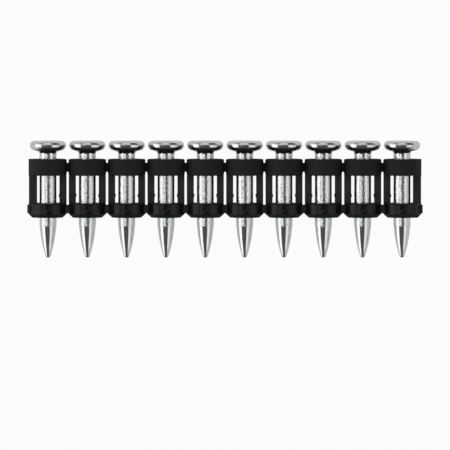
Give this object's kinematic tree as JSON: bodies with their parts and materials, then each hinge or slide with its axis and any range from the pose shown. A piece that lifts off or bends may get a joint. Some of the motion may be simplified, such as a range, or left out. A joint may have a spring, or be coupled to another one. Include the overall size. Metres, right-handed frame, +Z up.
{
  "type": "collated strip of concrete nails",
  "caption": "Flat strip of short zinc-plated concrete nails with broad round heads and tapered points, held side by side in one black moulded plastic carrier of collars, ribs and webs.",
  "frame": {"origin": "middle of the strip's footprint, on the surface that the strip lies on", "axes": "+X along the strip, +Y along the nails towards their heads, +Z up from the surface"},
  "size_m": [0.0744, 0.022, 0.0071],
  "materials": {
    "nail_steel": "bright zinc plating over forged steel",
    "carrier_plastic": "black moulded plastic, matte, glossier on the lower collars"
  },
  "bodies": {
    "root": {"carrier_strip": "carrier_plastic", "nail_01": "nail_steel", "nail_02": "nail_steel", "nail_03": "nail_steel", "nail_04": "nail_steel", "nail_05": "nail_steel", "nail_06": "nail_steel", "nail_07": "nail_steel", "nail_08": "nail_steel", "nail_09": "nail_steel", "nail_10": "nail_steel"}
  },
  "joints": []
}
